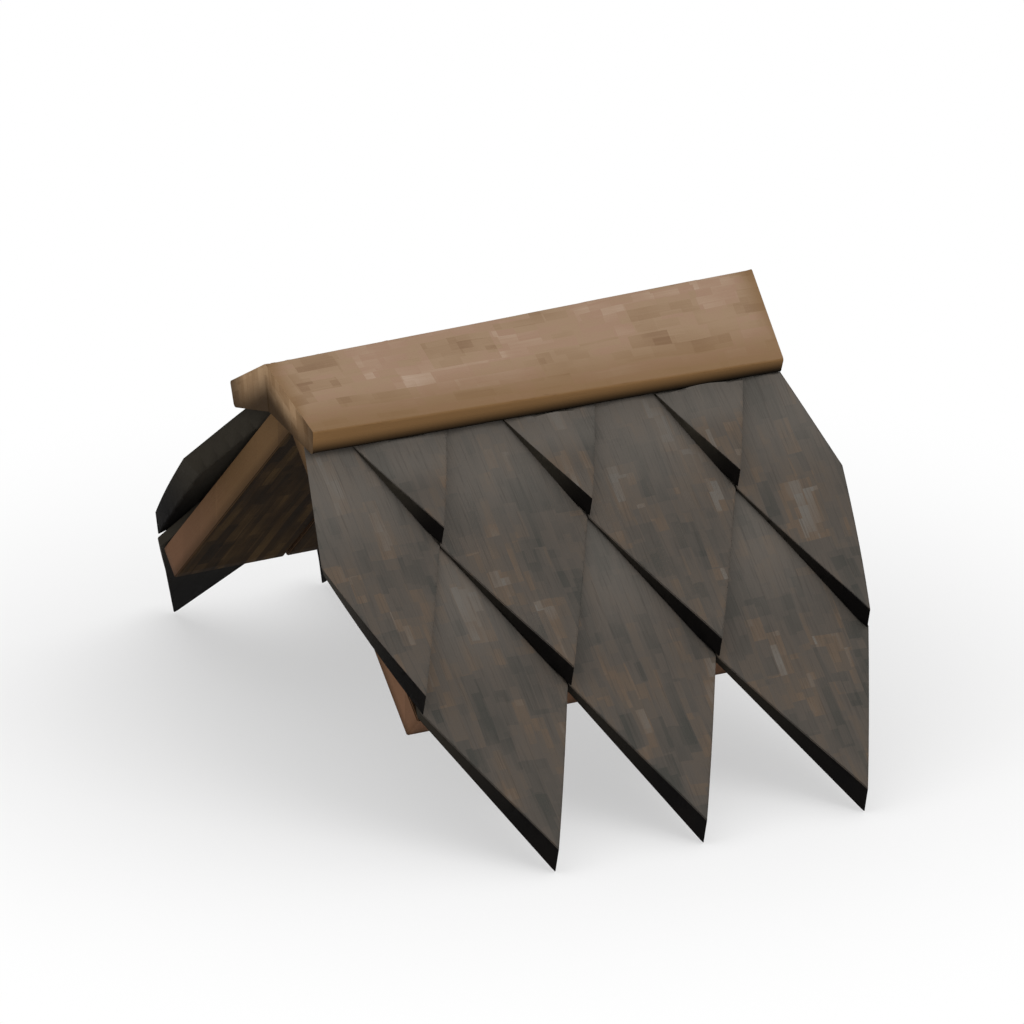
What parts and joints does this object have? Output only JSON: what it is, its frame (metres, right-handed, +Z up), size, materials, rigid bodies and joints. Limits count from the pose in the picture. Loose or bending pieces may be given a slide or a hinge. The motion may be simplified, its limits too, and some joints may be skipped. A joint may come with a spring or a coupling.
{
  "type": "shingle ridge cap",
  "caption": "Short ridge section of a pitched roof: a hewn ridge cap over two slopes of sheathing boards laid with pointed wooden shingles",
  "frame": {"origin": "middle of the roof section at the level of the lowest shingle points it stands on", "axes": "+Y along the ridge, +X down the near slope, +Z up"},
  "size_m": [0.6218, 0.4594, 0.323],
  "materials": {
    "cap_wood": "hewn and worn",
    "board_wood": "rough sawn",
    "shingle_wood": "weathered"
  },
  "bodies": {
    "root": {"far_board_1": "board_wood", "far_board_2": "board_wood", "far_board_3": "board_wood", "far_board_4": "board_wood", "far_bottom_shingle_1": "shingle_wood", "far_bottom_shingle_2": "shingle_wood", "far_bottom_shingle_3": "shingle_wood", "far_middle_shingle_1": "shingle_wood", "far_middle_shingle_2": "shingle_wood", "far_middle_shingle_3": "shingle_wood", "far_middle_shingle_4": "shingle_wood", "far_top_shingle_1": "shingle_wood", "far_top_shingle_2": "shingle_wood", "far_top_shingle_3": "shingle_wood", "near_board_1": "board_wood", "near_board_2": "board_wood", "near_board_3": "board_wood", "near_board_4": "board_wood", "near_bottom_shingle_1": "shingle_wood", "near_bottom_shingle_2": "shingle_wood", "near_bottom_shingle_3": "shingle_wood", "near_middle_shingle_1": "shingle_wood", "near_middle_shingle_2": "shingle_wood", "near_middle_shingle_3": "shingle_wood", "near_middle_shingle_4": "shingle_wood", "near_top_shingle_1": "shingle_wood", "near_top_shingle_2": "shingle_wood", "near_top_shingle_3": "shingle_wood", "ridge_cap": "cap_wood"}
  },
  "joints": []
}
